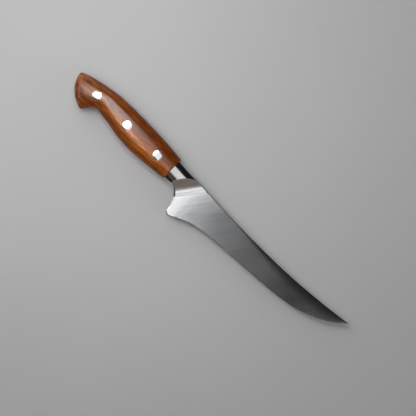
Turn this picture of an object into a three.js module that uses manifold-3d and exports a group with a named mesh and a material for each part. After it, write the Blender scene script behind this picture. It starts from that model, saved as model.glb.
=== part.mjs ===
// A forged boning knife with a full tang, two riveted wooden scales and a barrel bolster.
// Millimetres. The knife lies on its left side: x runs from the butt to the tip, y from the
// edge towards the spine, z up out of the right scale. Until the last step x is measured from
// the butt, y from the line through the rivets and z from the middle plane of the steel.

import * as THREE from "three";
import { mergeVertices } from "three/addons/utils/BufferGeometryUtils.js";
import Module from "manifold-3d";

const wasm = await Module();
wasm.setup();

// Handle, seen from the side
const handleLength = 113.2;
const backHeight = 14.4;
const backFrontHeight = 11.6;
const buttHeight = 5.6;
const buttCornerDrop = 1.6;
const beakReach = 20.4;
const beakDepth = 17.8;
const beakNose = 2.2;
const waistReach = 32.6;
const waistDepth = 8.2;
const bellyDepth = 13.7;
const bellyFrontDepth = 10.7;
const frontCorner = 1.9;

// Handle, seen from above
const handleThickness = 18;
const tangThickness = 2.6;
const sideWall = 1.2;
const crownWidth = 9.4;
const frontEdgeRound = 1.6;

// Bolster
const bolsterThickness = 14.6;
const bolsterRearHeight = 9.3;
const bolsterFrontHeight = 8.3;
const bolsterDrop = 9.2;
const bolsterReach = 40;
const bolsterShoulder = 15;
const rampRadius = 29;
const rampEnd = 34.6;
const rampAngle = THREE.MathUtils.degToRad(57);

// Blade
const heelOffset = 20.6;
const choilOffset = 6.4;
const bladeLength = 179.1;
const heelDepth = 30.7;
const heelCornerReach = 5.5;
const heelCornerDrop = 3.3;
const spineHeight = 8.4;
const tipHeight = 11.8;
const spineThickness = 2.4;
const tipThickness = 0.8;
const edgeThickness = 0.34;
const bevelWidth = 0.8;

// Rivets
const rearRivetReach = 24.3;
const frontRivetInset = 16.8;
const headDiameter = 8.3;
const headThickness = 1.6;
const barrelDiameter = 4.8;
const boreDiameter = 3.3;
const pinEndGap = 1.2;
const slideFit = 0.15;
const seatFit = 0.05;

// Overrun of a cut past the metal or wood that it goes through, and the little by which one
// surface is kept under another where two solids are joined
const overrun = 5;
const skin = 0.04;

const tangHalf = tangThickness / 2;
const landHeight = handleThickness / 2;
const seatHeight = landHeight - headThickness;
const bolsterHalf = bolsterThickness / 2;

const steel = new THREE.MeshStandardMaterial({ color: 0xb9bcbe, roughness: 0.32, metalness: 1 });
const wood = new THREE.MeshStandardMaterial({ color: 0x7a3a1e, roughness: 0.45, metalness: 0 });
const rivetSteel = new THREE.MeshStandardMaterial({
  color: 0xd8dadb,
  roughness: 0.22,
  metalness: 1,
});

const at = (x, y) => new THREE.Vector2(x, y);

// Points of an outline as shares of a length and of a height, from a start on the axis
const scaled = (shares, start, length, height) =>
  shares.map(([along, up]) => at(start + along * length, up * height));

// Height of an outline that runs forward all the way, read at one x
function heightOn(points) {
  return (x) => {
    const next = points.findIndex((p) => p.x >= x);
    if (next <= 0) return points[next ? points.length - 1 : 0].y;
    const a = points[next - 1];
    const b = points[next];
    return a.y + ((b.y - a.y) * (x - a.x)) / (b.x - a.x);
  };
}

// Upper outline of the handle, from the top of the butt to the rounded corner at the bolster
const backShares = [
  [0.01, 0.389],
  [0.045, 0.493],
  [0.12, 0.667],
  [0.233, 0.845],
  [0.345, 0.97],
  [0.5, 1],
  [0.683, 0.975],
  [0.833, 0.915],
];
function backOutline() {
  const cornerStart = handleLength - frontCorner;
  const path = new THREE.Path();
  path.moveTo(0, buttHeight - buttCornerDrop);
  path.lineTo(backShares[0][0] * handleLength, backShares[0][1] * backHeight);
  path.splineThru([
    ...scaled(backShares.slice(1), 0, handleLength, backHeight),
    at(cornerStart, backFrontHeight),
  ]);
  path.quadraticCurveTo(handleLength, backFrontHeight, handleLength, backFrontHeight - frontCorner);
  return path.getPoints(8);
}

// Lower outline: the butt's arc down to the beak, the beak's hollow up to the waist, the belly
const buttBendShares = [0.1, 0.62];
const beakHollowShares = [
  [0.16, 0.36],
  [0.55, 0.93],
];
const bellyShares = [
  [0.383, 0.708],
  [0.533, 0.925],
  [0.683, 1],
  [0.833, 0.915],
];
function bellyOutline() {
  const noseX = beakReach + beakNose;
  const noseY = -beakDepth + beakNose / 2;
  const hollowLength = waistReach - noseX;
  const hollowRise = -waistDepth - noseY;
  const [first, second] = beakHollowShares.map(([along, up]) =>
    at(noseX + along * hollowLength, noseY + up * hollowRise),
  );
  const cornerStart = handleLength - frontCorner;
  const path = new THREE.Path();
  path.moveTo(0, buttHeight - buttCornerDrop);
  path.quadraticCurveTo(
    buttBendShares[0] * beakReach,
    -buttBendShares[1] * beakDepth,
    beakReach - beakNose,
    -beakDepth + beakNose / 4,
  );
  path.quadraticCurveTo(beakReach + beakNose / 2, -beakDepth - beakNose / 4, noseX, noseY);
  path.bezierCurveTo(first.x, first.y, second.x, second.y, waistReach, -waistDepth);
  path.splineThru([
    ...scaled(bellyShares, 0, handleLength, -bellyDepth),
    at(cornerStart, -bellyFrontDepth),
  ]);
  path.quadraticCurveTo(
    handleLength,
    -bellyFrontDepth,
    handleLength,
    -bellyFrontDepth + frontCorner,
  );
  return path.getPoints(8);
}

// Spine and cutting edge of the blade, as shares of its length from the heel. Near the tip both
// follow the height of the tip, and before that the spine's height and the heel's depth.
const heelX = handleLength + heelOffset;
const spineShares = [
  [0.02, 1],
  [0.112, 0.893],
  [0.207, 0.775],
  [0.302, 0.7],
  [0.444, 0.65],
  [0.587, 0.665],
];
const spineTipShares = [
  [0.729, 0.576],
  [0.872, 0.762],
  [1, 1],
];
const edgeShares = [
  [-0.3, 1.6],
  [0.0, 1.03],
  [0.067, 0.865],
  [0.112, 0.75],
  [0.16, 0.675],
  [0.255, 0.602],
  [0.397, 0.552],
  [0.539, 0.505],
  [0.682, 0.43],
  [0.777, 0.336],
  [0.872, 0.14],
];
const edgeTipShares = [
  [0.943, 0.25],
  [1, 0.965],
];
const spineOutline = new THREE.SplineCurve([
  at(handleLength, bolsterRearHeight),
  at(handleLength + bolsterShoulder, bolsterFrontHeight),
  ...scaled(spineShares, heelX, bladeLength, spineHeight),
  ...scaled(spineTipShares, heelX, bladeLength, tipHeight),
]).getPoints(160);
const edgeOutline = new THREE.SplineCurve([
  ...scaled(edgeShares, heelX, bladeLength, -heelDepth),
  ...scaled(edgeTipShares, heelX, bladeLength, tipHeight),
]).getPoints(200);
const spineAt = heightOn(spineOutline);
const edgeAt = heightOn(edgeOutline);

// Half the thickness of the blade's ground face, from the edge to the spine
function faceHalf(x, y) {
  const along = THREE.MathUtils.clamp((x - heelX) / bladeLength, 0, 1);
  const atSpine = THREE.MathUtils.lerp(spineThickness, tipThickness, along) / 2;
  const up = THREE.MathUtils.clamp((y - edgeAt(x)) / (spineAt(x) - edgeAt(x)), 0, 1);
  return THREE.MathUtils.lerp(edgeThickness / 2, atSpine, up);
}

// Least distance from a point to an outline
function distanceTo(points, x, y) {
  const point = new THREE.Vector3(x, y, 0);
  const near = new THREE.Vector3();
  const line = new THREE.Line3();
  let least = Infinity;
  for (let i = 0; i < points.length - 1; i++) {
    line.start.set(points[i].x, points[i].y, 0);
    line.end.set(points[i + 1].x, points[i + 1].y, 0);
    line.closestPointToPoint(point, true, near);
    least = Math.min(least, near.distanceTo(point));
  }
  return least;
}

// Closed geometry through a row of rings that hold equally many points, with flat ends
function loft(rings) {
  const count = rings[0].length;
  const positions = rings.flat().flatMap((p) => [p.x, p.y, p.z]);
  const index = [];
  for (let ring = 0; ring < rings.length - 1; ring++) {
    for (let i = 0; i < count; i++) {
      const a = ring * count + i;
      const b = ring * count + ((i + 1) % count);
      index.push(a, b, a + count, b, b + count, a + count);
    }
  }
  const last = (rings.length - 1) * count;
  for (let i = 1; i < count - 1; i++) {
    index.push(0, i + 1, i);
    index.push(last, last + i, last + i + 1);
  }
  const geometry = new THREE.BufferGeometry();
  geometry.setAttribute("position", new THREE.Float32BufferAttribute(positions, 3));
  geometry.setIndex(index);
  return geometry;
}

// A closed geometry as a solid that can be joined and cut
function solid(geometry) {
  const bare = geometry.clone();
  bare.deleteAttribute("normal");
  bare.deleteAttribute("uv");
  const merged = mergeVertices(bare);
  const made = new wasm.Manifold(
    new wasm.Mesh({
      numProp: 3,
      vertProperties: merged.attributes.position.array,
      triVerts: new Uint32Array(merged.index.array),
    }),
  );
  if (made.volume() < 0) throw new Error("a solid is inside out");
  return made;
}

// A solid as a named mesh
function meshOf(name, body, material) {
  const { vertProperties, triVerts } = body.getMesh();
  const geometry = new THREE.BufferGeometry();
  geometry.setAttribute("position", new THREE.BufferAttribute(vertProperties, 3));
  geometry.setIndex(new THREE.BufferAttribute(triVerts, 1));
  geometry.computeVertexNormals();
  const mesh = new THREE.Mesh(geometry, material);
  mesh.name = name;
  return mesh;
}

// Stations along the handle: every 4 mm or so, and each corner of the outline near the beak
const backPoints = backOutline();
const bellyPoints = bellyOutline();
const backAt = heightOn(backPoints);
const bellyAt = heightOn(bellyPoints);
const stations = bellyPoints
  .filter((p, i) => p.x < waistReach || i % 3 === 0 || p.x > handleLength - frontCorner)
  .map((p) => p.x);

// The three sides that the scales are rounded off along: the back, the butt down to the beak, and
// the belly. The front meets the bolster, so back and belly run straight past its small corners.
const rimStations = stations.filter((x) => x <= handleLength - frontCorner);
const rimSides = [
  [...rimStations.map((x) => at(x, backAt(x))), at(handleLength, backFrontHeight)],
  stations.filter((x) => x <= beakReach).map((x) => at(x, bellyAt(x))),
  [
    ...rimStations.filter((x) => x >= beakReach).map((x) => at(x, bellyAt(x))),
    at(handleLength, -bellyFrontDepth),
  ],
];

// Depth inside the rim, blended where two sides are about as near, so that no ridge shows there
const rimBlend = 4;
function rimDepth(x, y) {
  const pull = rimSides.reduce((sum, side) => sum + distanceTo(side, x, y) ** -rimBlend, 0);
  return pull ** (-1 / rimBlend);
}

// How far a quarter round of this width and height lies below its top, at a depth from its foot
function roundDrop(depth, width, height) {
  const left = 1 - Math.min(depth / width, 1);
  return height * (1 - Math.sqrt(1 - left * left));
}

// Height of a scale's outer face above the middle plane
function scaleHeight(x, y) {
  const crown = roundDrop(rimDepth(x, y), crownWidth, landHeight - tangHalf - sideWall);
  const front = roundDrop(handleLength - x, frontEdgeRound, frontEdgeRound);
  return landHeight - Math.max(crown, front);
}

// The outer rivets go by the two ends of the handle, and the third is halfway between them
const frontRivetX = handleLength - frontRivetInset;
const rivetPlaces = {
  rear: rearRivetReach,
  middle: (rearRivetReach + frontRivetX) / 2,
  front: frontRivetX,
};

function turned(profile, segments) {
  const points = profile.map(([r, z]) => at(r, z));
  return new THREE.LatheGeometry(points, segments).rotateX(Math.PI / 2);
}

// The stepped hole through one scale: the barrel's hole and the seat of the head
function rivetPocket(x) {
  const hole = barrelDiameter / 2 + slideFit;
  const seat = headDiameter / 2 + slideFit;
  const profile = [
    [0, -overrun],
    [hole, -overrun],
    [hole, seatHeight],
    [seat, seatHeight],
    [seat, landHeight + overrun],
    [0, landHeight + overrun],
  ];
  return solid(turned(profile, 28).translate(x, 0, 0));
}

// What lies between the handle's rounded right face and a flat face below it
function handleBody(flatHeight) {
  const steps = 20;
  const rings = stations.map((x) => {
    const low = bellyAt(x);
    const high = backAt(x);
    const ring = [new THREE.Vector3(x, low, flatHeight), new THREE.Vector3(x, high, flatHeight)];
    for (let i = 0; i <= steps; i++) {
      const y = high + ((low - high) * (1 - Math.cos((Math.PI * i) / steps))) / 2;
      ring.push(new THREE.Vector3(x, y, scaleHeight(x, y)));
    }
    return ring;
  });
  return solid(loft(rings));
}

// A scale lies flat on the tang and is rounded off all round, but hardly at its front
function scaleBody(side) {
  let body = handleBody(tangHalf);
  for (const x of Object.values(rivetPlaces)) body = body.subtract(rivetPocket(x));
  return side > 0 ? body : body.mirror([0, 0, 1]);
}

// The tang has the outline of the scales, flush with them, and a hole for each rivet
function tangBody() {
  const shape = new THREE.Shape([
    ...stations.map((x) => at(x, bellyAt(x))),
    ...stations.map((x) => at(x, backAt(x))).reverse(),
  ]);
  for (const x of Object.values(rivetPlaces)) {
    const hole = new THREE.Path();
    hole.absarc(x, 0, barrelDiameter / 2 + slideFit, 0, 2 * Math.PI, true);
    shape.holes.push(hole);
  }
  const plate = new THREE.ExtrudeGeometry(shape, {
    depth: tangThickness,
    bevelEnabled: false,
    curveSegments: 14,
  });
  return solid(plate.translate(0, 0, -tangHalf));
}

// Lower outline of the metal in front of the handle: straight under the bolster, then the
// choil's curve down to the heel and the heel's rounded corner up to the cutting edge
const choilBendShares = [
  [0.47, 0.01],
  [0.94, 0.4],
];
const heelRoundShares = [
  [0.02, 0.9],
  [0.53, 1.12],
];
function heelOutline() {
  const startX = handleLength + choilOffset;
  const cornerY = -heelDepth + heelCornerDrop;
  const edgeX = heelX + heelCornerReach;
  const [bendA, bendB] = choilBendShares.map(([along, down]) =>
    at(startX + along * (heelX - startX), -bolsterDrop + down * (cornerY + bolsterDrop)),
  );
  const [roundA, roundB] = heelRoundShares.map(([along, down]) =>
    at(heelX + along * heelCornerReach, cornerY - down * heelCornerDrop),
  );
  const path = new THREE.Path();
  path.moveTo(handleLength, -bolsterDrop);
  path.lineTo(startX, -bolsterDrop);
  path.bezierCurveTo(bendA.x, bendA.y, bendB.x, bendB.y, heelX, cornerY);
  path.bezierCurveTo(roundA.x, roundA.y, roundB.x, roundB.y, edgeX, edgeAt(edgeX));
  return path.getPoints(12);
}
const heelPoints = heelOutline();
const heelAt = heightOn(heelPoints);

// The blade is a wedge from spine to edge that thins towards the tip, with a small bevel at the
// edge. Its root runs back through the bolster into the tang.
const rootShares = [-0.16, -0.12, -0.08, -0.04, -0.01];
const bladeSteps = 44;
function wedgeBody() {
  const forward = Array.from({ length: bladeSteps + 1 }, (_, i) => i / bladeSteps);
  const rings = [...rootShares, ...forward].map((share) => {
    const x = heelX + share * bladeLength;
    const low = edgeAt(x);
    const high = spineAt(x) - (share < 0 ? 2 * skin : 0);
    const shoulder = low + Math.min(bevelWidth, (high - low) / 2);
    const wide = faceHalf(x, shoulder);
    const top = faceHalf(x, high);
    return [
      new THREE.Vector3(x, low, 0),
      new THREE.Vector3(x, shoulder, -wide),
      new THREE.Vector3(x, high, -top),
      new THREE.Vector3(x, high, top),
      new THREE.Vector3(x, shoulder, wide),
    ];
  });
  return solid(loft(rings)).subtract(heelCut());
}

// What the wedge loses under the bolster and behind the heel
function heelCut() {
  const last = heelPoints[heelPoints.length - 1];
  const shape = new THREE.Shape([
    at(0, -bolsterDrop + 2 * skin),
    at(0, -2 * heelDepth),
    at(last.x, -2 * heelDepth),
    ...heelPoints.slice(1).reverse(),
    at(handleLength, -bolsterDrop + 2 * skin),
  ]);
  const plate = new THREE.ExtrudeGeometry(shape, { depth: bolsterThickness, bevelEnabled: false });
  return solid(plate.translate(0, 0, -bolsterHalf));
}

// The forging around the bolster: a barrel along the axis, between an oval and a box in section,
// whose rounding follows the outline down the choil. The wheel leaves only its rear part.
const barrelPower = 2.6;
const webShare = 0.72;
function forgingBody() {
  const sideSteps = 20;
  const frontSteps = 8;
  const frontX = handleLength + bolsterReach;
  const rear = heelPoints.filter((p) => p.y > -webShare * heelDepth).map((p) => p.x);
  const webX = rear[rear.length - 1];
  const front = Array.from({ length: frontSteps }, (_, i) =>
    THREE.MathUtils.lerp(webX, frontX, (i + 1) / frontSteps),
  );
  const rim = heelPoints.filter((p) => p.x <= heelX);
  const top = spineOutline.filter((p) => p.x <= frontX);
  const halfHeight = (bolsterRearHeight + bolsterDrop) / 2;
  const rings = [...rear, ...front].map((x) => {
    const low = heelAt(Math.min(x, webX)) + skin;
    const high = spineAt(x) - skin;
    const side = [];
    for (let i = 1; i < sideSteps; i++) {
      const y = low + ((high - low) * (1 - Math.cos((Math.PI * i) / sideSteps))) / 2;
      const depth = Math.min(distanceTo(rim, x, y), distanceTo(top, x, y));
      const inward = 1 - Math.min(depth / halfHeight, 1);
      const z = bolsterHalf * (1 - inward ** barrelPower) ** (1 / barrelPower);
      side.push(new THREE.Vector3(x, y, z));
    }
    const other = side.map((p) => new THREE.Vector3(p.x, p.y, -p.z));
    return [
      new THREE.Vector3(x, low, 0),
      ...other,
      new THREE.Vector3(x, high, 0),
      ...side.reverse(),
    ];
  });
  return solid(loft(rings));
}

// What the wheel grinds off one side of the bolster: a hollow that runs out onto the blade's
// face, square to a line that leans by the ramp's angle
function wheelCut(side) {
  const hollowSteps = 14;
  const rulingSteps = 10;
  const high = 2 * bolsterHalf;
  const deep = Math.sqrt(rampRadius ** 2 - (rampRadius - bolsterHalf) ** 2) + overrun / 2;
  const along = at(Math.cos(rampAngle), Math.sin(rampAngle));
  const across = at(Math.sin(rampAngle), -Math.cos(rampAngle));
  const step = deep / hollowSteps;
  const places = Array.from({ length: 2 * hollowSteps }, (_, i) => deep - i * step);
  const rings = places.map((back) => {
    const rise = back > 0 ? rampRadius - Math.sqrt(rampRadius ** 2 - back ** 2) : 0;
    const ring = [];
    for (let i = 0; i <= rulingSteps; i++) {
      const run = heelDepth * ((2 * i) / rulingSteps - 1);
      const x = handleLength + rampEnd - back * across.x + run * along.x;
      const y = -back * across.y + run * along.y;
      ring.push(new THREE.Vector3(x, y, faceHalf(x, y) + rise - skin));
    }
    const first = ring[0];
    const last = ring[rulingSteps];
    return [
      ...ring,
      new THREE.Vector3(last.x, last.y, high),
      new THREE.Vector3(first.x, first.y, high),
    ];
  });
  const body = solid(loft(rings));
  return side > 0 ? body : body.mirror([0, 0, 1]);
}

function bladeBlank() {
  const bolster = forgingBody().subtract(wheelCut(1)).subtract(wheelCut(-1));
  return tangBody().add(bolster).add(wedgeBody());
}

// The heads are ground and polished together with the wood, so they follow its crown
const handleEnvelope = handleBody(-landHeight - overrun);
const groundFlush = (rivet) => rivet.intersect(handleEnvelope);

// The tubular half of a rivet, whose barrel goes through both scales and the tang
function barrelHalf(x) {
  const head = headDiameter / 2;
  const barrel = barrelDiameter / 2;
  const bore = boreDiameter / 2;
  const end = -seatHeight + seatFit;
  const profile = [
    [0, seatHeight],
    [bore, seatHeight - bore],
    [bore, end],
    [barrel, end],
    [barrel, seatHeight + seatFit],
    [head, seatHeight + seatFit],
    [head, landHeight + overrun],
    [0, landHeight + overrun],
  ];
  return groundFlush(solid(turned(profile, 28).translate(x, 0, 0))).mirror([0, 0, 1]);
}

// The solid half, whose pin is driven into the barrel's bore
function pinHalf(x) {
  const head = headDiameter / 2;
  const pin = boreDiameter / 2 - slideFit;
  const end = -seatHeight + boreDiameter / 2 + pinEndGap;
  const profile = [
    [0, end],
    [pin, end],
    [pin, seatHeight + seatFit],
    [head, seatHeight + seatFit],
    [head, landHeight + overrun],
    [0, landHeight + overrun],
  ];
  return groundFlush(solid(turned(profile, 28).translate(x, 0, 0)));
}

const knife = new THREE.Group();
knife.add(meshOf("blade_blank", bladeBlank(), steel));
knife.add(meshOf("scale_right", scaleBody(1), wood));
knife.add(meshOf("scale_left", scaleBody(-1), wood));
for (const [place, x] of Object.entries(rivetPlaces)) {
  knife.add(meshOf(`rivet_${place}_barrel`, barrelHalf(x), rivetSteel));
  knife.add(meshOf(`rivet_${place}_pin`, pinHalf(x), rivetSteel));
}

// The origin is the middle of the knife's footprint, on the surface that it lies on
const extent = new THREE.Box3().setFromObject(knife);
const middle = extent.getCenter(new THREE.Vector3());
knife.position.set(-middle.x, -middle.y, -extent.min.z);

export default knife;
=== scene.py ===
from math import cos, pi, radians, sin, sqrt

import bmesh
import bpy
import numpy as np
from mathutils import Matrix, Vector


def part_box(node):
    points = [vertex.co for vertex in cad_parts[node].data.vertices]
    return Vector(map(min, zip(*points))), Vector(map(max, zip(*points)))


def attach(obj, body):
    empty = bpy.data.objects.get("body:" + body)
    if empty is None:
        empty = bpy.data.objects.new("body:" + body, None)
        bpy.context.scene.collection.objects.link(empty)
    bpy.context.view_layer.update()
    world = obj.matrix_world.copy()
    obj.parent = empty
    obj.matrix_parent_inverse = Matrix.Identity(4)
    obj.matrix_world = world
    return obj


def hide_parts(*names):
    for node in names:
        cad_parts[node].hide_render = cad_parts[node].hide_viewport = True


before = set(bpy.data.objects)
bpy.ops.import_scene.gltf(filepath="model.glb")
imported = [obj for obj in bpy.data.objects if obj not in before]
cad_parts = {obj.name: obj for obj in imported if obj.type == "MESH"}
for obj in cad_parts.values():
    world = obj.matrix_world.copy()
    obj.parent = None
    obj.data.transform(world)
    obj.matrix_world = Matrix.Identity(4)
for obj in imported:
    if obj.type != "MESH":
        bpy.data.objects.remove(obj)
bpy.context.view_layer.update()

# The blade blank. One forging of stainless steel: a curved blade, a barrel bolster and a full tang
# that runs on between the scales. It is drop forged, then a wheel grinds each face of the blade,
# and the hollow that it leaves in the front of the bolster runs out onto the face.
mm = 0.001
butt_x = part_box("scale_right")[0].x
rivet_y = sum(corner.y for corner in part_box("rivet_middle_pin")) / 2
middle_z = sum(corner.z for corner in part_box("blade_blank")) / 2

# Sizes are in millimetres: x from the butt, y from the rivets' line, z from the steel's middle.
# The outline of the handle comes first, because the tang follows it.
handle_length = 113.2
back_height, back_front_height = 14.4, 11.6
butt_top = 4.0
beak_reach, beak_depth, beak_nose = 20.4, 17.8, 2.2
waist_reach, waist_depth = 32.6, 8.2
belly_depth, belly_front_depth = 13.7, 10.7
front_corner = 1.9
back_shares = [(0.01, 0.389), (0.045, 0.493), (0.12, 0.667), (0.233, 0.845), (0.345, 0.97),
               (0.5, 1), (0.683, 0.975), (0.833, 0.915)]
butt_shares = [(0.1, 0.62)]
hollow_shares = [(0.16, 0.36), (0.55, 0.93)]
belly_shares = [(0.383, 0.708), (0.533, 0.925), (0.683, 1), (0.833, 0.915)]


def bent(points, steps=10):
    """A smooth line through points, with this many steps from one to the next."""
    p = np.array([points[0], *points, points[-1]], float)
    line = [p[1]]
    for a, b, c, d in zip(p, p[1:], p[2:], p[3:]):
        for t in np.linspace(0, 1, steps + 1)[1:]:
            pull_b, pull_c = (c - a) / 2, (d - b) / 2
            line.append(b + pull_b * t + (3 * (c - b) - 2 * pull_b - pull_c) * t ** 2
                        + (2 * (b - c) + pull_b + pull_c) * t ** 3)
    return line


def arc(*points, steps=14):
    """A Bezier curve of any degree through the first and last of its points."""
    line = []
    for t in np.linspace(0, 1, steps + 1)[1:]:
        p = [np.array(q, float) for q in points]
        while len(p) > 1:
            p = [a * (1 - t) + b * t for a, b in zip(p, p[1:])]
        line.append(p[0])
    return line


def scaled(shares, start_x, length, height, start_y=0):
    """Points given as shares of a length and of a height, from a start."""
    return [(start_x + along * length, start_y + up * height) for along, up in shares]


back_curve = bent(scaled(back_shares, 0, handle_length, back_height)
                  + [(handle_length - front_corner, back_front_height)])
back_line = np.array([(0, butt_top)] + back_curve + arc(
    back_curve[-1], (handle_length, back_front_height),
    (handle_length, back_front_height - front_corner)))

nose = (beak_reach + beak_nose, -beak_depth + beak_nose / 2)
butt_line = arc((0, butt_top), *scaled(butt_shares, 0, beak_reach, -beak_depth),
                (beak_reach - beak_nose, -beak_depth + beak_nose / 4), steps=24)
butt_line += arc(butt_line[-1], (beak_reach + beak_nose / 2, -beak_depth - beak_nose / 4), nose)
hollow_pulls = scaled(hollow_shares, nose[0], waist_reach - nose[0], -waist_depth - nose[1],
                      nose[1])
hollow_line = arc(nose, *hollow_pulls, (waist_reach, -waist_depth))
belly_curve = bent([(waist_reach, -waist_depth)]
                   + scaled(belly_shares, 0, handle_length, -belly_depth)
                   + [(handle_length - front_corner, -belly_front_depth)])
belly_line = np.array([(0, butt_top)] + butt_line + hollow_line + belly_curve[1:] + arc(
    belly_curve[-1], (handle_length, -belly_front_depth),
    (handle_length, -belly_front_depth + front_corner)))

# the outline of the bolster and the blade
bolster_rear_height, bolster_front_height = 9.3, 8.3
bolster_drop, bolster_shoulder = 9.2, 15
choil_offset, heel_offset = 6.4, 20.6
blade_length, heel_depth = 179.1, 30.7
heel_corner_reach, heel_corner_drop = 5.5, 3.3
spine_height, tip_height = 8.4, 11.8
spine_shares = [(0.02, 1), (0.112, 0.893), (0.207, 0.775), (0.302, 0.7), (0.444, 0.65),
                (0.587, 0.665)]
raised_spine_shares = [(0.729, 0.576), (0.872, 0.762), (1, 1)]
edge_shares = [(-0.3, 1.6), (0, 1.03), (0.067, 0.865), (0.112, 0.75), (0.16, 0.675),
               (0.255, 0.602), (0.397, 0.552), (0.539, 0.505), (0.682, 0.43), (0.777, 0.336),
               (0.872, 0.14)]
raised_edge_shares = [(0.943, 0.25), (1, 0.965)]
choil_shares = [(0.47, 0.01), (0.94, 0.4)]
heel_shares = [(0.02, 0.9), (0.53, 1.12)]

choil_start = handle_length + choil_offset
heel_x = handle_length + heel_offset
heel_end_x = heel_x + heel_corner_reach
tip_x = heel_x + blade_length
spine_line = np.array(bent(
    [(handle_length, bolster_rear_height), (handle_length + bolster_shoulder, bolster_front_height)]
    + scaled(spine_shares, heel_x, blade_length, spine_height)
    + scaled(raised_spine_shares, heel_x, blade_length, tip_height)))
edge_line = np.array(bent(scaled(edge_shares, heel_x, blade_length, -heel_depth)
                          + scaled(raised_edge_shares, heel_x, blade_length, tip_height)))


def height_on(line, x):
    return np.interp(x, line[:, 0], line[:, 1])


corner_y = -heel_depth + heel_corner_drop
choil_pulls = scaled(choil_shares, choil_start, heel_x - choil_start,
                     corner_y + bolster_drop, -bolster_drop)
heel_pulls = scaled(heel_shares, heel_x, heel_corner_reach, -heel_corner_drop, corner_y)
choil_curve = [(handle_length, -bolster_drop), (choil_start, -bolster_drop)] + arc(
    (choil_start, -bolster_drop), *choil_pulls, (heel_x, corner_y), steps=30)
choil_line = np.array(choil_curve)
heel_line = np.array(choil_curve + arc(
    (heel_x, corner_y), *heel_pulls, (heel_end_x, height_on(edge_line, heel_end_x))))


def lower_edge(x):
    return np.where(x < heel_end_x, height_on(heel_line, x), height_on(edge_line, x))


def distance_to(line, x, y):
    """Least distance from each point to a line of short straight pieces."""
    least_square = 1e-12
    x, y = np.broadcast_arrays(np.asarray(x, float), np.asarray(y, float))
    start, step = line[:-1], np.diff(line, axis=0)
    off = np.stack([x, y], -1)[..., None, :] - start
    along = np.clip((off * step).sum(-1) / np.maximum((step ** 2).sum(-1), least_square), 0, 1)
    return np.linalg.norm(off - along[..., None] * step, axis=-1).min(-1)


def quarter_round(depth, width, height):
    """How far a quarter round lies below its top, at a depth from its foot."""
    left = 1 - np.clip(depth / width, 0, 1)
    return height * (1 - np.sqrt(1 - left ** 2))


bolster_half, bolster_edge_half = 7.3, 5.0
bolster_crown_power, bolster_edge_round = 3, 0.5
# past the heel the barrel swells a little towards its edges
swell, swell_reach = 0.02, 14


def bolster_surface(x, y):
    """Half thickness of the forged bolster: a crowned barrel with a short wall at its edges."""
    depth = np.minimum(distance_to(choil_line, x, y), distance_to(spine_line, x, y))
    half_height = (bolster_rear_height + bolster_drop) / 2
    past_heel = np.clip((x - heel_x) / swell_reach, 0, 1)
    inward = 1 - np.clip(depth / half_height + swell * past_heel ** 2, 0, 1)
    crowned = bolster_half - (bolster_half - bolster_edge_half) * inward ** bolster_crown_power
    return crowned - quarter_round(depth, bolster_edge_round, bolster_edge_round)


spine_half, tip_half, edge_half = 1.2, 0.4, 0.17
bevel_width, choil_round = 0.55, 1.4
spine_round, spine_round_limit = 0.9, 0.8
ramp_radius, ramp_end, ramp_angle = 29, 34.6, radians(52.5)
ramp_limit, grind_depth = 0.98, 0.24
roll_start, roll_full, roll_width, roll_slope = 176, 252, 9.5, 0.11
least_roll, roll_limit = 0.01, 0.45


def behind_ramp(x, y):
    """How far a point lies behind the slanting line that the wheel's axle stands over."""
    return y * cos(ramp_angle) - (x - handle_length - ramp_end) * sin(ramp_angle)


def ground_surface(x, y):
    """Half thickness of the ground face: a wedge, and behind it the wheel's hollow."""
    along = np.clip((x - heel_x) / blade_length, 0, 1)
    low, high = height_on(edge_line, x), height_on(spine_line, x)
    up = np.clip((y - low) / (high - low), 0, 1)
    half = edge_half + (spine_half + (tip_half - spine_half) * along - edge_half) * up
    back = np.clip(behind_ramp(x, y), 0, ramp_limit * ramp_radius)
    half = half + np.maximum(ramp_radius - np.sqrt(ramp_radius ** 2 - back ** 2) - grind_depth, 0)
    # toward the tip the face rolls over gently to the spine
    width = roll_width * np.clip((x - roll_start) / (roll_full - roll_start), least_roll, 1)
    rolled = np.clip(1 - (high - y) / width, 0, 1) ** 2
    half = half - np.minimum(roll_slope / 2 * width, roll_limit * half) * rolled
    # the rounded choil passes into the bevel of the cutting edge at the heel's corner
    turn = np.clip((x - heel_x) / heel_corner_reach, 0, 1)
    width = choil_round + (bevel_width - choil_round) * turn
    fullness = 2 - turn
    depth = np.where(x < heel_end_x, distance_to(heel_line, x, y), y - low)
    left = 1 - np.clip(depth / width, 0, 1)
    half = half * (1 - left ** fullness) ** (1 / fullness)
    return half - quarter_round(high - y, spine_round,
                                np.minimum(spine_round, spine_round_limit * half))


def rows_between(low, high, count):
    """Heights from low to high, closer together at both ends."""
    return low + (high - low) * (1 - np.cos(np.linspace(0, pi, count))) / 2


# The rings of the blank's skin: where each spacing starts and how many points each stretch has.
# The wheel's hollow meets the ground face at hollow_end behind the wheel's axle.
bolster_end, tip_start = 156, 290
ring_steps = [(handle_length, 0.3), (heel_end_x + 1, 0.6), (bolster_end, 1.3), (tip_start, 0.7)]
edge_points, face_points, spine_points = 12, 26, 14
hollow_end = sqrt(2 * ramp_radius * grind_depth - grind_depth ** 2)


def ground_span(x, low, high):
    """Where the ground face starts and ends on one ring, or None where there is none."""
    search_points, margin = 600, 3
    least_bevel, spine_rows_share = 0.1, 1.5
    y = low + (high - low) * np.linspace(0, 1, search_points)
    ground = bolster_surface(x, y) > ground_surface(x, y)
    if not ground[margin:-margin].any():
        return None
    from_y, to_y = y[ground][0], y[ground][-1]
    if x > heel_x:
        to_y = max(high - spine_rows_share * spine_round, (low + 3 * high) / 4)
        bevel = low + bevel_width * np.clip((x - heel_x) / heel_corner_reach, least_bevel, 1)
        from_y = max(from_y, min(bevel, (low + high) / 2))
    return from_y, max(to_y, from_y)


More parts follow.
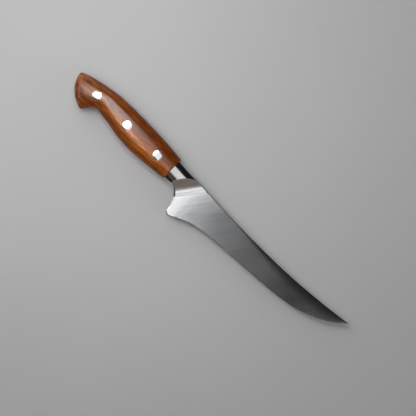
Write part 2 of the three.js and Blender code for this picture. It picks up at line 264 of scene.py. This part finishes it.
def blank_profiles():
    """Heights and half thicknesses of the metal in front of the handle, one ring for each x."""
    line_slack, line_gap, line_clearance = 0.02, 0.03, 0.1
    ends = [start for start, step in ring_steps[1:]] + [tip_x]
    xs = np.concatenate([np.arange(start, end, step)
                         for (start, step), end in zip(ring_steps, ends)] + [[tip_x]])
    heights = [(lower_edge(x), height_on(spine_line, x)) for x in xs]
    spans = [ground_span(x, low, high) for x, (low, high) in zip(xs, heights)]
    ramp_nose = sum(next(span for span in spans if span)) / 2
    rings = []
    for x, (low, high), span in zip(xs, heights, spans):
        from_y, to_y = span or (ramp_nose, ramp_nose)
        # two points lie just either side of the line where the wheel's hollow ends
        line = (hollow_end - behind_ramp(x, 0)) / cos(ramp_angle)
        slack = min(line_slack, (to_y - from_y) / 3)
        line = min(max(line, from_y + slack), to_y - slack)
        inside = from_y + line_clearance < line < to_y - line_clearance
        gap = line_gap if inside else slack / 4
        y = np.concatenate([rows_between(low, from_y, edge_points),
                            rows_between(from_y, line - gap, face_points)[1:],
                            rows_between(line + gap, to_y, face_points)[:-1],
                            rows_between(to_y, high, spine_points)])
        half = bolster_surface(x, y)
        if span:
            half = np.minimum(half, ground_surface(x, y))
        rings.append((np.full_like(y, x), y, np.maximum(half, 0)))
    return rings


tang_half = 1.3


def tang_profiles(count):
    """The tang between the scales, flush with them all round."""
    butt_end, beak_end, bolster_inset = 1, 30, 0.1
    butt_rings, beak_step, handle_step, corner_rings = 4, 0.5, 1.2, 7
    corner_x = handle_length - front_corner
    rings = []
    for x in np.concatenate([np.linspace(0, butt_end, butt_rings),
                             np.arange(butt_end + beak_step, beak_end, beak_step),
                             np.arange(beak_end, corner_x, handle_step),
                             np.linspace(corner_x, handle_length, corner_rings)]):
        low, high = height_on(belly_line, x), height_on(back_line, x)
        if x == handle_length:
            low = max(low, bolster_inset - bolster_drop)
            high = min(high, bolster_rear_height - bolster_inset)
        y = np.linspace(low, high, count)
        rings.append((np.full_like(y, x), y, np.full_like(y, tang_half)))
    return rings


def placed(x, y, z):
    """Points given in millimetres from the butt, the rivets' line and the steel's middle plane."""
    return np.stack([butt_x + np.asarray(x) * mm, rivet_y + np.asarray(y) * mm,
                     middle_z + np.asarray(z) * mm], -1)


def bands(rings, count):
    """The four-sided faces between rings of this many points each."""
    return [(r * count + i, r * count + (i + 1) % count,
             (r + 1) * count + (i + 1) % count, (r + 1) * count + i)
            for r in range(rings - 1) for i in range(count)]


def mesh_of(name, points, faces, sharp=30):
    """A closed, merged mesh whose faces point outwards."""
    weld_distance, sliver_length = 2e-6, 1e-7
    mesh = bpy.data.meshes.new(name)
    mesh.from_pydata([tuple(p) for p in points], [], faces)
    work = bmesh.new()
    work.from_mesh(mesh)
    bmesh.ops.remove_doubles(work, verts=work.verts, dist=weld_distance)
    bmesh.ops.dissolve_degenerate(work, edges=work.edges, dist=sliver_length)
    bmesh.ops.recalc_face_normals(work, faces=work.faces)
    work.to_mesh(mesh)
    work.free()
    mesh.shade_smooth()
    mesh.set_sharp_from_angle(angle=radians(sharp))
    return mesh


def piece_of(mesh):
    piece = bpy.data.objects.new(mesh.name, mesh)
    bpy.context.scene.collection.objects.link(piece)
    return piece


def settled(piece, sharp=30):
    """Turns the piece's modifiers into plain mesh."""
    bpy.context.view_layer.update()
    seen = piece.evaluated_get(bpy.context.evaluated_depsgraph_get())
    piece.data = bpy.data.meshes.new_from_object(seen)
    piece.modifiers.clear()
    piece.data.name = piece.name
    piece.data.shade_smooth()
    piece.data.set_sharp_from_angle(angle=radians(sharp))


def lofted(name, rings):
    """A closed skin over rings of (x, y, half thickness), the same on both sides."""
    loops = [np.concatenate([placed(x, y, h), placed(x, y, -h)[::-1]]) for x, y, h in rings]
    count = len(loops[0])
    faces = bands(len(loops), count)
    for first in (0, (len(loops) - 1) * count):
        last = first + count - 1
        faces += [(first + i, first + i + 1, last - i - 1, last - i) for i in range(count // 2 - 1)]
    return mesh_of(name, np.concatenate(loops), faces)


def turned(name, profile, x, side=1, steps=48):
    """A solid of revolution about a rivet's axis, from (radius, height) points along it."""
    turns = [2 * pi * i / steps for i in range(steps)]
    points = [placed(x + r * cos(a), r * sin(a), side * z) for r, z in profile for a in turns]
    return mesh_of(name, points, bands(len(profile), steps))


def drilled(piece, cutters):
    """Cuts each cutter out of the piece and removes it."""
    for mesh in cutters:
        cutter = piece_of(mesh)
        cut = piece.modifiers.new("drill", "BOOLEAN")
        cut.object, cut.operation, cut.solver = cutter, "DIFFERENCE", "EXACT"
        settled(piece)
        bpy.data.objects.remove(cutter)


class NodeTree:
    """A node tree, built up node by node."""

    def __init__(self, tree):
        self.tree = tree

    def node(self, kind, inputs=(), **settings):
        """A new node. An input is a number, a colour, a socket or a list of sockets."""
        made = self.tree.nodes.new(kind)
        for key, value in settings.items():
            setattr(made, key, value)
        for key, value in dict(inputs).items():
            for one in value if isinstance(value, list) else [value]:
                self.set(made.inputs[key], one)
        return made

    def set(self, socket, value):
        if isinstance(value, bpy.types.NodeSocket):
            self.tree.links.new(value, socket)
        else:
            socket.default_value = value

    def maths(self, way, *values):
        return self.node("ShaderNodeMath", enumerate(values), operation=way).outputs[0]

    def vectors(self, way, *values, result="Vector"):
        made = self.node("ShaderNodeVectorMath", enumerate(values), operation=way)
        return made.outputs[result]

    def parts(self, vector):
        return self.node("ShaderNodeSeparateXYZ", {"Vector": vector}).outputs


class Finish(NodeTree):
    """A material whose patterns lie in the piece's own coordinates."""

    def __init__(self, name):
        self.material = bpy.data.materials.new(name)
        self.material.use_nodes = True
        super().__init__(self.material.node_tree)
        self.shader = self.tree.nodes["Principled BSDF"].inputs
        self.place = self.node("ShaderNodeTexCoord").outputs["Object"]

    def laid(self, cells, turn=0, shift=(0, 0, 0)):
        """Coordinates with this many cells in a metre each way, turned about the thickness."""
        turned_place = self.node("ShaderNodeMapping", {
            "Vector": self.place, "Rotation": (0, 0, -turn), "Location": shift}).outputs[0]
        return self.node("ShaderNodeMapping", {
            "Vector": turned_place, "Scale": cells}).outputs[0]

    def noise(self, vector, detail=2.0, roughness=0.5, output="Fac"):
        return self.node("ShaderNodeTexNoise", {
            "Vector": vector, "Scale": 1.0, "Detail": detail,
            "Roughness": roughness}).outputs[output]

    def between(self, value, low, high, to_low, to_high):
        return self.node("ShaderNodeMapRange", {
            "Value": value, "From Min": low, "From Max": high, "To Min": to_low,
            "To Max": to_high}).outputs["Result"]

    def spread(self, noise, to_low, to_high):
        """A noise, mapped from the span that it mostly keeps to."""
        noise_low, noise_high = 0.3, 0.7
        return self.between(noise, noise_low, noise_high, to_low, to_high)

    def ramp(self, value, stops):
        made = self.node("ShaderNodeValToRGB", {"Fac": value})
        band = made.color_ramp
        while len(band.elements) < len(stops):
            band.elements.new(0.5)
        for element, (position, colour) in zip(band.elements, stops):
            element.position = position
            element.color = (*colour, 1)
        return made.outputs["Color"]

    def mixed(self, factor, a, b):
        made = self.node("ShaderNodeMix", data_type="RGBA")
        factor_input, a_input, b_input = 0, 6, 7
        self.set(made.inputs[factor_input], factor)
        self.set(made.inputs[a_input], a)
        self.set(made.inputs[b_input], b)
        return made.outputs[2]

    def bump(self, height, distance, strength, under=None):
        made = self.node("ShaderNodeBump", {
            "Height": height, "Distance": distance, "Strength": strength})
        if under is not None:
            self.set(made.inputs["Normal"], under)
        return made.outputs["Normal"]


def shade(colour, factor):
    return [min(part * factor, 1) for part in colour] + [1]


def steel(name, colour, rough, grit, turn, anisotropy=0.0):
    """Stainless steel with grinding lines that lean by an angle from the knife's length."""
    line_cells, streak_cells, cloud_cells = (18, 1400, 18), (16, 620, 16), (22, 22, 22)
    streak_shift, streak_low, streak_high = (0.3, 0.1, 0), 0.36, 0.64
    streak_share, streak_depth = 0.8, 1.6
    rough_spread, cloud_spread = 0.14, 0.02
    line_depth, line_strength = 0.003 * mm, 0.5
    finish = Finish(name)
    lines = finish.noise(finish.laid(line_cells, turn), detail=3.0, roughness=0.6)
    streaks = finish.noise(finish.laid(streak_cells, turn, streak_shift), detail=3.0, roughness=0.7)
    cloud = finish.noise(finish.laid(cloud_cells))
    tone = finish.mixed(finish.spread(lines, 0, 1), shade(colour, 1 - grit),
                        shade(colour, 1 + grit))
    tone = finish.mixed(finish.between(streaks, streak_low, streak_high, 0, streak_share), tone,
                        shade(colour, 1 - streak_depth * grit))
    finish.set(finish.shader["Base Color"], tone)
    finish.set(finish.shader["Metallic"], 1.0)
    finish.set(finish.shader["Roughness"], finish.maths(
        "ADD", finish.spread(lines, rough * (1 - rough_spread), rough * (1 + rough_spread)),
        finish.spread(cloud, -cloud_spread, cloud_spread)))
    finish.set(finish.shader["Normal"], finish.bump(lines, line_depth, line_strength))
    if anisotropy:
        finish.set(finish.shader["Anisotropic"], anisotropy)
        finish.set(finish.shader["Tangent"], finish.node(
            "ShaderNodeTangent", direction_type="UV_MAP", uv_map="brush").outputs[0])
    return finish.material


profiles = blank_profiles()
blank = piece_of(lofted("forged_blank", tang_profiles(len(profiles[0][1])) + profiles))
rivet_places = [sum(corner.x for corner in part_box(f"rivet_{place}_pin")) / 2
                for place in ("rear", "middle", "front")]
rivet_xs = [(x - butt_x) / mm for x in rivet_places]
barrel_radius, slide_fit = 2.4, 0.15
hole_radius, hole_end = barrel_radius + slide_fit, 3
drilled(blank, [turned("hole", [(0, -hole_end), (hole_radius, -hole_end),
                                (hole_radius, hole_end), (0, hole_end)], x) for x in rivet_xs])

# the tang as ground, the polished bolster, the brushed blade and hollow, and the sharpened bevel
blank.data.materials.clear()
for metal in (
        steel("tang steel", (0.50, 0.49, 0.48), rough=0.42, grit=0.10, turn=0),
        # the bolster's steel is darker than the blade's: painted shade that dims its reflection
        steel("polished bolster steel", (0.38, 0.376, 0.368), rough=0.15, grit=0.05,
              turn=radians(90)),
        steel("ground blade steel", (0.60, 0.61, 0.62), rough=0.15, grit=0.06, turn=ramp_angle,
              anisotropy=0.6),
        steel("wheel-ground hollow steel", (0.60, 0.61, 0.62), rough=0.15, grit=0.17,
              turn=ramp_angle, anisotropy=0.6),
        steel("edge bevel steel", (0.66, 0.67, 0.68), rough=0.16, grit=0.04, turn=radians(90))):
    blank.data.materials.append(metal)
on_tang, on_bolster, on_blade, on_hollow, on_bevel = range(5)

# the brush map's axes lie across and along the grinding lines
brush_scale, brush_middle = 4, 0.5
across = blank.data.uv_layers.new(name="brush")
corner_points = np.array([blank.data.vertices[loop.vertex_index].co[:2]
                          for loop in blank.data.loops])
brush_uv = np.stack([corner_points @ (sin(ramp_angle), -cos(ramp_angle)),
                     corner_points @ (cos(ramp_angle), sin(ramp_angle))], -1)
brush_uv = brush_uv * brush_scale + brush_middle
across.data.foreach_set("uv", brush_uv.astype(np.float32).ravel())

handle_slack, bevel_share, hollow_lead = 0.001, 0.98, 2
for face in blank.data.polygons:
    x, y = (face.center.x - butt_x) / mm, (face.center.y - rivet_y) / mm
    if x < handle_length - handle_slack:
        face.material_index = on_tang
    elif x < bolster_end and float(bolster_surface(x, y)) < float(ground_surface(x, y)) and (
            x < heel_x or y > 0):
        face.material_index = on_bolster
    elif x > heel_end_x and y - height_on(edge_line, x) < bevel_share * bevel_width:
        face.material_index = on_bevel
    elif behind_ramp(x, y) > hollow_lead:
        face.material_index = on_hollow
    else:
        face.material_index = on_blade
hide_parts("blade_blank")
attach(blank, "root")

# The scales. Two matched slabs of reddish brown hardwood, glued and riveted to the flat faces of
# the tang. Each is shaped to the tang's outline, crowned by hand on a belt, drilled for the three
# rivets and varnished.
land_height = 9.0
side_wall, crown_width, front_round = 1.2, 9.4, 1.4
rim_blend = 3
# the crown reaches further in from the back past the butt, and from the belly at the beak
butt_reach = 0.78
back_growth, back_growth_start, back_growth_end = 0.25, 29, 52
beak_growth, beak_growth_start, beak_growth_end = 1, 10, 26

corner_x = handle_length - front_corner
below_x, above_x = belly_line[:, 0], back_line[:, 0]
butt_side = belly_line[below_x <= beak_reach]
belly_side = np.vstack([belly_line[(below_x >= beak_reach) & (below_x <= corner_x)],
                        (handle_length, -belly_front_depth)])
back_side = np.vstack([back_line[above_x <= corner_x], (handle_length, back_front_height)])


def eased(x, start, end):
    """0 before start, 1 past end and a smooth passage between them."""
    part = np.clip((x - start) / (end - start), 0, 1)
    return part * part * (3 - 2 * part)


def scale_surface(x, y):
    """Height of a scale's outer face above the steel's middle plane."""
    least_distance = 1e-6
    from_back = 1 + back_growth * eased(x, back_growth_start, back_growth_end)
    from_belly = 1 + beak_growth - beak_growth * eased(x, beak_growth_start, beak_growth_end)
    pull = sum(np.maximum(distance_to(side, x, y) / reach, least_distance) ** -rim_blend
               for side, reach in ((butt_side, butt_reach), (belly_side, from_belly),
                                   (back_side, from_back)))
    depth = pull ** (-1 / rim_blend)
    crown = quarter_round(depth, crown_width, land_height - tang_half - side_wall)
    front = quarter_round(handle_length - x, front_round, front_round)
    return land_height - np.maximum(crown, front)


def scale_mesh(name, side):
    """An undrilled scale: rings round its crowned outer face and the flat face on the tang."""
    butt_end, beak_end, corner_gap = 3, 34, 0.3
    butt_rings, beak_step, handle_step, front_rings = 12, 0.45, 0.9, 9
    crown_points, seat_points, sharp = 72, 6, 35
    front = handle_length - front_round * (1 - np.sin(np.linspace(0, pi / 2, front_rings)))
    xs = np.concatenate([rows_between(0, butt_end, butt_rings)[:-1],
                         np.arange(butt_end, beak_end, beak_step),
                         np.arange(beak_end, corner_x - corner_gap, handle_step), front])
    loops = []
    for x in xs:
        low, high = height_on(belly_line, x), height_on(back_line, x)
        y = rows_between(low, high, crown_points)
        seat = np.linspace(high, low, seat_points)
        loops.append(np.concatenate([
            placed(np.full_like(y, x), y, side * scale_surface(x, y)),
            placed(np.full_like(seat, x), seat, np.full_like(seat, side * tang_half))]))
    count = len(loops[0])
    last = (len(loops) - 1) * count
    caps = [tuple(range(count)), tuple(range(last, last + count))]
    return mesh_of(name, np.concatenate(loops), bands(len(loops), count) + caps, sharp)


middle_rivet_x = rivet_places[1]
# a lighter band along the slab, brighter towards the front: partly lighter grain, partly a painted
# orange sheen
grain_and_sheen_band_y, grain_and_sheen_band_slope = rivet_y + 0.9 * mm, -0.045
grain_and_sheen_band_core, grain_and_sheen_band_half = 1.5 * mm, 7 * mm
grain_and_sheen_band_start, grain_and_sheen_band_end = rivet_places[0], middle_rivet_x + 8 * mm
grain_and_sheen_band_rear_lift, grain_and_sheen_band_front_lift = 0.28, 0.50
# painted shade: the wood's tone drops towards the bolster
front_shade_start, front_shade_end, front_shade_drop = butt_x + 97 * mm, butt_x + 104 * mm, -0.11
wood_tones = [(0.05, (0.10, 0.016, 0.0018)), (0.30, (0.21, 0.045, 0.005)),
              (0.55, (0.37, 0.098, 0.012)), (0.80, (0.60, 0.175, 0.024)),
              (1.0, (0.80, 0.25, 0.035))]
grain_colour, grain_share = (0.075, 0.013, 0.0015, 1), 0.75
pore_colour, pore_share = (0.030, 0.009, 0.003, 1), 0.7


def wood_finish():
    """Varnished hardwood: long growth bands, fine grain and short pores along the handle, a lighter
    band that is partly painted sheen, and painted shade towards the bolster.
    """
    wander_cells, wander_reach = (14, 30, 30), (0.0, 6 * mm, 6 * mm)
    broad_cells, band_cells = (12, 90, 90), (30, 460, 460)
    grain_cells, pore_cells = (90, 1000, 1000), (260, 3600, 3600)
    finish = Finish("varnished hardwood")
    wander = finish.noise(finish.laid(wander_cells), detail=1.0, output="Color")
    finish.place = finish.vectors("ADD", finish.place,
                                  finish.vectors("MULTIPLY", wander, wander_reach))
    broad = finish.noise(finish.laid(broad_cells), detail=2.0)
    growth = finish.noise(finish.laid(band_cells), detail=4.0, roughness=0.65)
    grain = finish.noise(finish.laid(grain_cells), detail=3.0, roughness=0.6)
    pores = finish.noise(finish.laid(pore_cells), detail=1.0)

    # a lighter band runs along the slab, higher at the butt than at the front: partly lighter
    # grain, partly a painted orange sheen
    bent_place = finish.parts(finish.place)
    grain_and_sheen_band_middle = finish.maths("MULTIPLY_ADD", bent_place["X"], -grain_and_sheen_band_slope,
                         grain_and_sheen_band_slope * middle_rivet_x - grain_and_sheen_band_y)
    off_grain_and_sheen_band_middle = finish.maths("ABSOLUTE", finish.maths("ADD", bent_place["Y"], grain_and_sheen_band_middle))
    grain_and_sheen_band = finish.maths(
        "MULTIPLY", finish.between(off_grain_and_sheen_band_middle, grain_and_sheen_band_core, grain_and_sheen_band_half, 1.0, 0.0),
        finish.between(bent_place["X"], grain_and_sheen_band_start, grain_and_sheen_band_end,
                       grain_and_sheen_band_rear_lift, grain_and_sheen_band_front_lift))
    tone = finish.maths("ADD", finish.spread(broad, 0.27, 0.42), grain_and_sheen_band)
    tone = finish.maths("ADD", tone, finish.spread(growth, -0.24, 0.26))
    # painted shade: the wood is darker towards the bolster, standing in for less light there
    tone = finish.maths("ADD", tone, finish.between(
        bent_place["X"], front_shade_start, front_shade_end, 0.0, front_shade_drop))

    colour = finish.ramp(tone, wood_tones)
    colour = finish.mixed(finish.between(grain, 0.42, 0.66, 0.0, grain_share), colour, grain_colour)
    colour = finish.mixed(finish.between(pores, 0.60, 0.72, 0.0, pore_share), colour, pore_colour)
    shader = finish.shader
    finish.set(shader["Base Color"], colour)
    finish.set(shader["Roughness"], finish.spread(grain, 0.42, 0.55))
    finish.set(shader["Normal"], finish.bump(
        pores, 0.04 * mm, 0.4, finish.bump(grain, 0.03 * mm, 0.5)))
    shader["Specular IOR Level"].default_value = 0.0
    shader["Coat Weight"].default_value = 1.0
    shader["Coat Roughness"].default_value = 0.2
    shader["Coat IOR"].default_value = 1.5
    return finish.material


head_radius, head_thickness = 4.15, 1.6
pocket_radius = head_radius + 0.05
pocket_floor = land_height - head_thickness - 0.02
pocket_end = land_height + 3
pocket_profile = [(0, 0), (hole_radius, 0), (hole_radius, pocket_floor),
                  (pocket_radius, pocket_floor), (pocket_radius, pocket_end), (0, pocket_end)]
wood = wood_finish()
uncut_scales = {}
for side, word in ((1, "right"), (-1, "left")):
    scale = piece_of(scale_mesh(f"wood_scale_{word}", side))
    uncut_scales[side] = piece_of(scale.data.copy())
    drilled(scale, [turned("pocket", pocket_profile, x, side) for x in rivet_xs])
    scale.data.materials.clear()
    scale.data.materials.append(wood)
    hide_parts(f"scale_{word}")
    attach(scale, "root")

# The rivets. Three two-piece compression rivets of stainless steel: a tubular half goes in from
# the left and a solid half is driven into it from the right. The heads are ground and polished
# together with the wood, so each follows the crown of its scale.
bore_radius, pin_radius = 1.65, 1.5
pin_length, barrel_length = 12.4, 14.4
rim_ease = 0.15
row_places = ("First", "Second", "Third")


def rivet_tree():
    """Geometry Nodes for a row of rivet halves whose heads are ground flush with the wood."""
    sides, head_rings, shank_rings, shank_root = 48, 12, 1, 0.25
    least_bore, top_slack, ray_start, ray_length = 0.01 * mm, 0.1 * mm, 20 * mm, 50 * mm
    rim_power = 3.0
    tree = bpy.data.node_groups.new("rivet row", "GeometryNodeTree")
    for kind, names in (("Vector", row_places),
                        ("Float", ("Side", "Head radius", "Head thickness", "Crown height",
                                   "Shank radius", "Shank length", "Bore radius", "Rim ease")),
                        ("Object", ("Wood",)), ("Material", ("Steel",))):
        for name in names:
            tree.interface.new_socket(name=name, in_out="INPUT", socket_type=f"NodeSocket{kind}")
    tree.interface.new_socket(name="Geometry", in_out="OUTPUT", socket_type="NodeSocketGeometry")
    build = NodeTree(tree)
    node, maths, vectors = build.node, build.maths, build.vectors
    entry = node("NodeGroupInput").outputs

    def upright(z):
        return node("ShaderNodeCombineXYZ", {"Z": z}).outputs[0]

    def rod(radius, length, top, rings):
        """An upright rod, by the height of its top."""
        made = node("GeometryNodeMeshCylinder", {
            "Vertices": sides, "Side Segments": 2, "Fill Segments": rings, "Radius": radius,
            "Depth": length}).outputs["Mesh"]
        middle = maths("SUBTRACT", top, maths("MULTIPLY", length, 0.5))
        return node("GeometryNodeTransform", {
            "Geometry": made, "Translation": upright(middle)}).outputs[0]

    # one half: a head and its shank, bored if it is the tubular one
    seat = maths("SUBTRACT", entry["Crown height"], entry["Head thickness"])
    shank_top = maths("ADD", seat, maths("MULTIPLY", entry["Head thickness"], shank_root))
    head = rod(entry["Head radius"], entry["Head thickness"], entry["Crown height"], head_rings)
    shank = rod(entry["Shank radius"], entry["Shank length"], shank_top, shank_rings)
    bore = rod(entry["Bore radius"], entry["Shank length"], seat, shank_rings)
    solid_half = node("GeometryNodeMeshBoolean", {"Mesh 2": [head, shank]}, operation="UNION",
                      solver="EXACT").outputs["Mesh"]
    hollow_half = node("GeometryNodeMeshBoolean", {"Mesh 1": solid_half, "Mesh 2": bore},
                       operation="DIFFERENCE", solver="EXACT").outputs["Mesh"]
    half = node("GeometryNodeSwitch", {
        "Switch": maths("GREATER_THAN", entry["Bore radius"], least_bore),
        "False": solid_half, "True": hollow_half}, input_type="GEOMETRY").outputs[0]

    # a row of three, turned over for the left side
    switch = node("GeometryNodeIndexSwitch", {"Index": node("GeometryNodeInputIndex").outputs[0]},
                  data_type="VECTOR")
    while len(switch.index_switch_items) < len(row_places):
        switch.index_switch_items.new()
    for number, name in enumerate(row_places):
        tree.links.new(entry[name], switch.inputs[1 + number])
    points = node("GeometryNodePoints", {
        "Count": len(row_places), "Position": switch.outputs[0]}).outputs[0]
    turn = node("ShaderNodeCombineXYZ", {"X": maths(
        "MULTIPLY", maths("SUBTRACT", 1.0, entry["Side"]), pi / 2)}).outputs[0]
    row = node("GeometryNodeInstanceOnPoints", {
        "Points": points, "Instance": half, "Rotation": turn}).outputs[0]
    row = node("GeometryNodeRealizeInstances", {"Geometry": row}).outputs[0]

    # the top of each head is dropped onto the uncut scale
    place = node("GeometryNodeInputPosition").outputs[0]
    inward = maths("MULTIPLY", entry["Side"], -1.0)
    height = maths("MULTIPLY", maths("SUBTRACT", build.parts(place)["Z"],
                                     build.parts(entry["First"])["Z"]), entry["Side"])
    on_top = maths("GREATER_THAN", height, maths("SUBTRACT", entry["Crown height"], top_slack))
    skin = node("GeometryNodeObjectInfo", {"Object": entry["Wood"]},
                transform_space="ORIGINAL").outputs["Geometry"]
    over = vectors("ADD", place, upright(maths("MULTIPLY", entry["Side"], ray_start)))
    ray = node("GeometryNodeRaycast", {
        "Target Geometry": skin, "Source Position": over, "Ray Direction": upright(inward),
        "Ray Length": ray_length}).outputs

    # buffing leaves each head a little crowned, down to its rim
    nearest = node("GeometryNodeSampleNearest", {"Geometry": points, "Sample Position": place})
    hub = node("GeometryNodeSampleIndex", {
        "Geometry": points, "Index": nearest.outputs[0], "Value": place},
        data_type="FLOAT_VECTOR").outputs[0]
    flat_off = vectors("MULTIPLY", vectors("SUBTRACT", place, hub), (1.0, 1.0, 0.0))
    from_hub = vectors("LENGTH", flat_off, result="Value")
    at_rim = maths("POWER", maths("DIVIDE", from_hub, entry["Head radius"]), rim_power)
    drop = maths("MULTIPLY", maths("MULTIPLY", at_rim, entry["Rim ease"]), inward)
    row = node("GeometryNodeSetPosition", {
        "Geometry": row, "Selection": node("FunctionNodeBooleanMath", {
            0: on_top, 1: ray["Is Hit"]}, operation="AND").outputs[0],
        "Position": vectors("ADD", ray["Hit Position"], upright(drop))}).outputs[0]
    row = node("GeometryNodeSetMaterial", {"Geometry": row, "Material": entry["Steel"]}).outputs[0]
    node("NodeGroupOutput", {0: row})
    return tree


rivet_steel = steel("polished rivet steel", (0.53, 0.53, 0.525), rough=0.18, grit=0.03,
                    turn=radians(20))
tree = rivet_tree()
names = {item.name: item.identifier for item in tree.interface.items_tree
         if item.in_out == "INPUT"}
for side, word, kind, shank, length, bore in (
        (1, "pin", "rivet_pins", pin_radius, pin_length, 0.0),
        (-1, "barrel", "rivet_barrels", barrel_radius, barrel_length, bore_radius)):
    rivets = piece_of(bpy.data.meshes.new(kind))
    row = rivets.modifiers.new("row", "NODES")
    row.node_group = tree
    values = {"Side": float(side), "Head radius": head_radius * mm,
              "Head thickness": head_thickness * mm, "Crown height": land_height * mm,
              "Shank radius": shank * mm, "Shank length": length * mm, "Bore radius": bore * mm,
              "Rim ease": rim_ease * mm, "Wood": uncut_scales[side], "Steel": rivet_steel}
    for label, x in zip(row_places, rivet_places):
        values[label] = (x, rivet_y, middle_z)
    for label, value in values.items():
        row[names[label]] = value
    settled(rivets, sharp=25)
    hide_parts(*(f"rivet_{place}_{word}" for place in ("rear", "middle", "front")))
    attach(rivets, "root")
for uncut in uncut_scales.values():
    bpy.data.objects.remove(uncut)

# The floor is a plain pale sheet. A long soft box over the handle is the key light: one stretch of
# it is dim, its end fades out over the blade, a lamp in it brightens the rear half of the handle,
# and boxes to the sides light the heel, the choil and the walls of the room.
floor_half, floor_drop = 3, 0.2 * mm
floor_mesh = bpy.data.meshes.new("floor")
floor_mesh.from_pydata([(-floor_half, -floor_half, 0), (floor_half, -floor_half, 0),
                        (floor_half, floor_half, 0), (-floor_half, floor_half, 0)], [],
                       [(0, 1, 2, 3)])
floor = piece_of(floor_mesh)
floor.location.z = -floor_drop
paper = Finish("pale floor")
paper.set(paper.shader["Base Color"], paper.mixed(
    paper.noise(paper.laid((6, 6, 6)), detail=3.0), (0.60, 0.60, 0.605, 1), (0.66, 0.66, 0.665, 1)))
paper.shader["Roughness"].default_value = 0.9
floor_mesh.materials.append(paper.material)

scene = bpy.context.scene
scene.view_settings.view_transform = "Standard"
world = bpy.data.worlds.new("room")
world.use_nodes = True
world.node_tree.nodes["Background"].inputs["Color"].default_value = (0.012, 0.012, 0.012, 1)
scene.world = world


def soft_box(name, centre, size, target, power, colour=(1, 1, 1)):
    """A soft box that the camera doesn't see, facing a target."""
    lamp = bpy.data.lights.new(name, "AREA")
    lamp.shape, lamp.size, lamp.size_y = "RECTANGLE", *size
    lamp.energy, lamp.color = power, colour
    box = bpy.data.objects.new(name, lamp)
    box.location = centre
    box.rotation_euler = (Vector(target) - Vector(centre)).to_track_quat("-Z", "Y").to_euler()
    box.visible_camera = False
    scene.collection.objects.link(box)


def top_box(name, centre, size, power, colour=(1, 1, 1)):
    """A soft box that faces down, tipped by a hair so that its sides line up with x and y."""
    soft_box(name, centre, size, (centre[0], centre[1] + 0.1 * mm, 0), power, colour)


def wall_box(name, x, y, height, power):
    """A wide soft box that stands on the floor and faces the middle of the room."""
    wall_width = 5
    soft_box(name, (x, y, height / 2), (wall_width, height), (0, 0, height / 2), power)


# places and sizes in metres, powers in watts
top_box("key", (-0.352, 0.0375, 0.45), (0.521, 0.19), 0.59)
top_box("dim stretch of key", (-0.077, 0.0375, 0.45), (0.029, 0.19), 0.0125)
top_box("front of key", (-0.0375, 0.0375, 0.45), (0.05, 0.19), 0.0567)
top_box("fading end of key", (0.008, 0.022, 0.45), (0.04, 0.19), 0.0048)
top_box("low corner of key", (-0.004, -0.075, 0.45), (0.04, 0.07), 0.032, (0.9, 0.97, 1))
top_box("faint end of key", (0.044, -0.015, 0.45), (0.028, 0.19), 0.0033)
top_box("last end of key", (0.0865, -0.045, 0.45), (0.057, 0.13), 0.0013)
top_box("lamp", (-0.1625, 0.068, 0.44), (0.069, 0.244), 0.35)
soft_box("heel side", (0.80, -0.63, 2.0), (0.5, 0.96), (-0.017, -0.02, 0), 2.0)
soft_box("choil side", (-0.58, -0.47, 0.75), (0.45, 0.4), (0, 0, 0), 0.9)
soft_box("choil top", (-0.50, -0.21, 0.83), (0.25, 0.35), (-0.02, -0.02, 0), 0.5)
soft_box("warm wall", (0.90, -0.57, 0.60), (0.9, 0.95), (0, 0, 0), 0.68, (1, 0.81, 0.71))
soft_box("warm ceiling", (-0.05, -0.565, 1.0), (0.5, 0.38), (-0.05, 0, 0), 0.1, (1, 0.82, 0.74))
soft_box("butt side", (-1.05, 0.47, 0.62), (2.2, 1.0), (0, 0, 0), 6.2)
soft_box("tip side", (1.0, 0.55, 0.5), (1.2, 0.7), (0, 0, 0), 2.0)
wall_box("back wall", 0, 3, 1.3, 3.4)
wall_box("front wall", 0, -3, 1.3, 3.4)
wall_box("butt wall", -3, 0, 1.2, 4.0)
wall_box("tip wall", 3, 0, 1.0, 3.6)

# The camera looks straight down, turned so that the knife lies across the picture.
camera_height, view_width, view_turn = 1.3, 0.3536, radians(44.5)
view_middle = Vector((0.0016, 0.0061, 0.012))
lens = bpy.data.cameras.new("camera")
lens.sensor_width = 36
lens.lens = lens.sensor_width * camera_height / view_width
lens.clip_start, lens.clip_end = 0.01, 20
camera = bpy.data.objects.new("camera", lens)
camera.location = view_middle + Vector((0, 0, camera_height))
camera.rotation_euler = (0, 0, view_turn)
scene.collection.objects.link(camera)
scene.camera = camera
